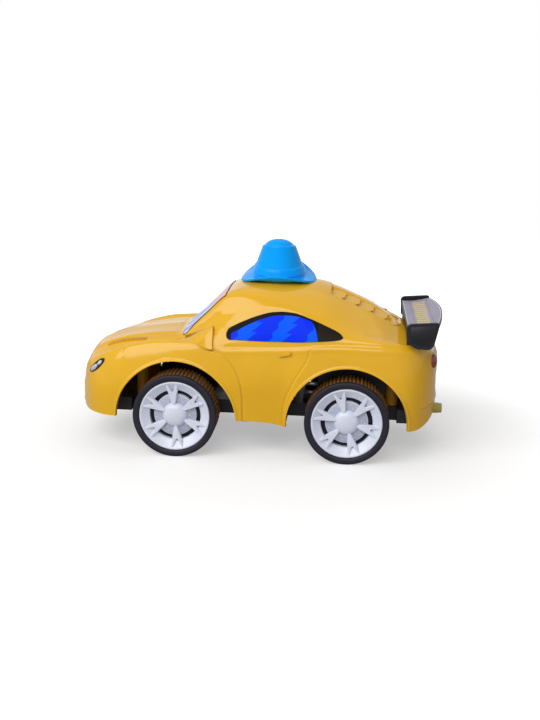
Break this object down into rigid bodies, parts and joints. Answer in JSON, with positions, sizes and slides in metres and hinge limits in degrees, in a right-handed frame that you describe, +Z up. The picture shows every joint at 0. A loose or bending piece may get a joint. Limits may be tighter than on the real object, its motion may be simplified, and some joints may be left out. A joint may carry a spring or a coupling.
{
  "type": "toy car",
  "caption": "Push-along toy car: rounded moulded body on a tray chassis, ribbed wheels, a flywheel motor geared to the rear axle, a hat on the roof and a rear spoiler.",
  "frame": {"origin": "on the ground under the middle of the car's overall length and width", "axes": "-X towards the front of the car, -Y towards its left side, +Z up"},
  "size_m": [0.188, 0.082, 0.1067],
  "materials": {
    "yellow_plastic": "glossy injection-moulded yellow",
    "black_plastic": "satin moulded black",
    "tyre_plastic": "satin black, hard, ribbed tread",
    "white_plastic": "semi-gloss white",
    "blue_plastic": "semi-gloss bright blue",
    "window_print": "printed film, two blues in a black border",
    "windscreen_print": "printed film, pale blue streaks",
    "spoiler_print": "printed film, grey with yellow bars",
    "lamp_print": "printed film, silver in a dark border",
    "red_plastic": "glossy dark red",
    "case_plastic": "satin moulded black",
    "gear_plastic": "natural nylon",
    "steel": "drawn steel rod",
    "screw_steel": "zinc-plated steel",
    "iron": "turned iron"
  },
  "bodies": {
    "car_body": {"body_shell": "yellow_plastic", "chassis": "black_plastic", "body_screws": "screw_steel", "windscreen_label": "windscreen_print", "window_label_left": "window_print", "window_label_right": "window_print", "headlamp_left": "lamp_print", "headlamp_right": "lamp_print", "tail_lamp_left": "red_plastic", "tail_lamp_right": "red_plastic", "hat": "blue_plastic", "hat_screw": "screw_steel", "spoiler": "black_plastic", "spoiler_label": "spoiler_print", "gear_case_left": "case_plastic", "gear_case_right": "case_plastic", "case_screws": "screw_steel", "motor_screws": "screw_steel", "idler_shaft": "steel"},
    "front_wheel_set": {"front_axle": "steel", "tyre_front_left": "tyre_plastic", "tyre_front_right": "tyre_plastic", "rim_front_left": "white_plastic", "rim_front_right": "white_plastic"},
    "rear_wheel_set": {"rear_axle": "steel", "tyre_rear_left": "tyre_plastic", "tyre_rear_right": "tyre_plastic", "rim_rear_left": "white_plastic", "rim_rear_right": "white_plastic", "axle_gear": "gear_plastic"},
    "idler": {"idler_gear": "gear_plastic"},
    "flywheel_set": {"flywheel_shaft": "steel", "flywheel_pinion": "gear_plastic", "flywheel": "iron"}
  },
  "joints": [
    {"name": "front_axle_spin", "type": "hinge", "parent": "car_body", "child": "front_wheel_set", "pos_m": [-0.0405, 0, 0.0211], "axis": [0, 1, 0], "continuous": true},
    {"name": "rear_axle_spin", "type": "hinge", "parent": "car_body", "child": "rear_wheel_set", "pos_m": [0.0455, 0, 0.0211], "axis": [0, 1, 0], "continuous": true},
    {"name": "idler_spin", "type": "hinge", "parent": "car_body", "child": "idler", "pos_m": [0.0414, 0, 0.03238], "axis": [0, 1, 0], "continuous": true},
    {"name": "flywheel_spin", "type": "hinge", "parent": "car_body", "child": "flywheel_set", "pos_m": [0.05179, 0, 0.03838], "axis": [0, 1, 0], "continuous": true}
  ],
  "couplings": [
    {"joint": "idler_spin", "follows": "rear_axle_spin", "ratio": -2.3333},
    {"joint": "flywheel_spin", "follows": "rear_axle_spin", "ratio": 5.4444}
  ]
}
